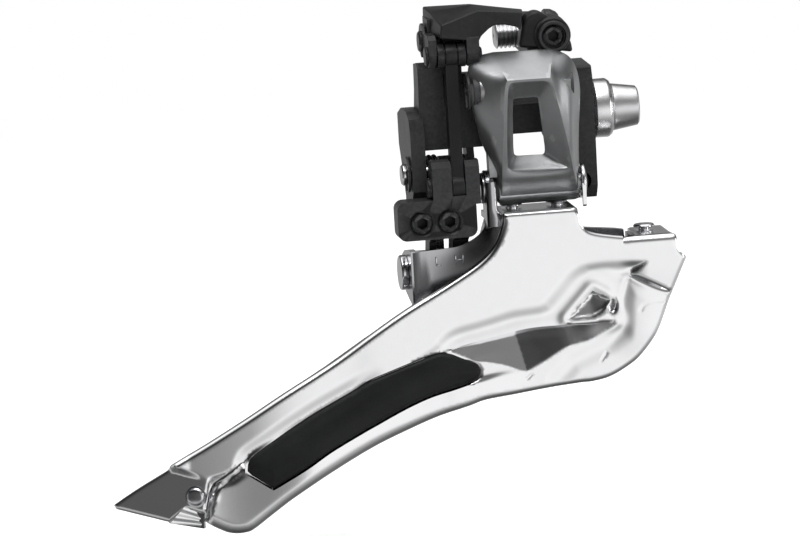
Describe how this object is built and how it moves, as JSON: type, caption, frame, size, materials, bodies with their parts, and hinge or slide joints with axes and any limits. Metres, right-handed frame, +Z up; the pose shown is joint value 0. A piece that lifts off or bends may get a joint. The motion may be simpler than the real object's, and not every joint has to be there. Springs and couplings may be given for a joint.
{
  "type": "bicycle front derailleur",
  "caption": "Front derailleur for a braze-on hanger: clamped base, parallelogram links, cable arm and a plated chain cage that shifts sideways between chainrings.",
  "frame": {"origin": "axis of the M5 fixing bolt where it meets the base's mounting face", "axes": "+X forward on the bicycle and along the fixing bolt, +Y inboard towards the seat tube, +Z up"},
  "size_m": [0.1102, 0.0343, 0.0945],
  "materials": {
    "plate_chrome": "satin bright plating",
    "gunmetal": "metallic satin",
    "black_alloy": "satin anodised black",
    "black_steel": "black oxide",
    "black_resin": "matte",
    "bolt_steel": "turned",
    "washer_alloy": "turned",
    "pin_steel": "polished",
    "bushing_resin": "matte",
    "spring_steel": "oiled"
  },
  "bodies": {
    "base": {"base_bracket": "black_alloy", "mount_bolt": "bolt_steel", "mount_washer": "washer_alloy", "outer_link_pin": "pin_steel", "inner_link_pin": "pin_steel", "arm_pin": "black_steel", "pin_clips": "black_steel", "return_spring": "spring_steel"},
    "outer_link": {"outer_link": "gunmetal", "outer_link_bushings": "bushing_resin"},
    "inner_link": {"inner_link": "black_alloy", "inner_link_bushings": "bushing_resin", "lever_pin": "black_steel"},
    "cage": {"cage_outer_plate": "plate_chrome", "cage_inner_plate": "plate_chrome", "skid_plate": "black_resin", "neck_rivets": "pin_steel", "nose_rivet": "pin_steel", "tail_rivet": "pin_steel", "lower_outer_pin": "pin_steel", "lower_inner_pin": "pin_steel"},
    "cable_arm": {"cable_arm": "black_alloy", "arm_bushings": "bushing_resin", "arm_link_pin": "black_steel", "cable_clamp_bolt": "bolt_steel", "cable_clamp_plate": "bolt_steel"},
    "connecting_link": {"connecting_link": "black_alloy"},
    "low_limit_screw": {"low_limit_screw": "black_steel"},
    "high_limit_screw": {"high_limit_screw": "black_steel"},
    "cable_tension_screw": {"cable_tension_screw": "black_steel"},
    "support_screw": {"support_screw": "black_steel"}
  },
  "joints": [
    {"name": "outer_link_pivot", "type": "hinge", "parent": "base", "child": "outer_link", "pos_m": [0, -0.01976, 0.00753], "axis": [-1, 0, 0], "range_deg": [0, 30], "stiffness_Nm_per_rad": 0.08},
    {"name": "cage_pivot", "type": "hinge", "parent": "outer_link", "child": "cage", "pos_m": [0, -0.01504, -0.01139], "axis": [-1, 0, 0], "range_deg": [-30, 0]},
    {"name": "inner_link_pivot", "type": "hinge", "parent": "base", "child": "inner_link", "pos_m": [0, -0.01076, -0.00837], "axis": [-1, 0, 0], "range_deg": [0, 30]},
    {"name": "arm_pivot", "type": "hinge", "parent": "base", "child": "cable_arm", "pos_m": [0, -0.01076, 0.0164], "axis": [-1, 0, 0], "range_deg": [0, 30]},
    {"name": "connecting_link_pivot", "type": "hinge", "parent": "cable_arm", "child": "connecting_link", "pos_m": [0, -0.01776, 0.0144], "axis": [-1, 0, 0], "range_deg": [-30, 0]},
    {"name": "low_limit_adjust", "type": "hinge", "parent": "inner_link", "child": "low_limit_screw", "pos_m": [-0.0353, -0.015, -0.0165], "axis": [0, 1, 0], "continuous": true},
    {"name": "high_limit_adjust", "type": "hinge", "parent": "inner_link", "child": "high_limit_screw", "pos_m": [-0.0301, -0.015, -0.0165], "axis": [0, 1, 0], "continuous": true},
    {"name": "cable_tension_adjust", "type": "hinge", "parent": "cable_arm", "child": "cable_tension_screw", "pos_m": [-0.0084, -0.013, 0.0165], "axis": [0, 1, 0], "continuous": true},
    {"name": "support_screw_turn", "type": "hinge", "parent": "base", "child": "support_screw", "pos_m": [-0.0032, 0.001, -0.0126], "axis": [0, 1, 0], "continuous": true}
  ],
  "couplings": [
    {"joint": "cage_pivot", "follows": "outer_link_pivot", "ratio": -1},
    {"joint": "inner_link_pivot", "follows": "outer_link_pivot", "ratio": 1},
    {"joint": "arm_pivot", "follows": "outer_link_pivot", "ratio": 1},
    {"joint": "connecting_link_pivot", "follows": "outer_link_pivot", "ratio": -1}
  ]
}
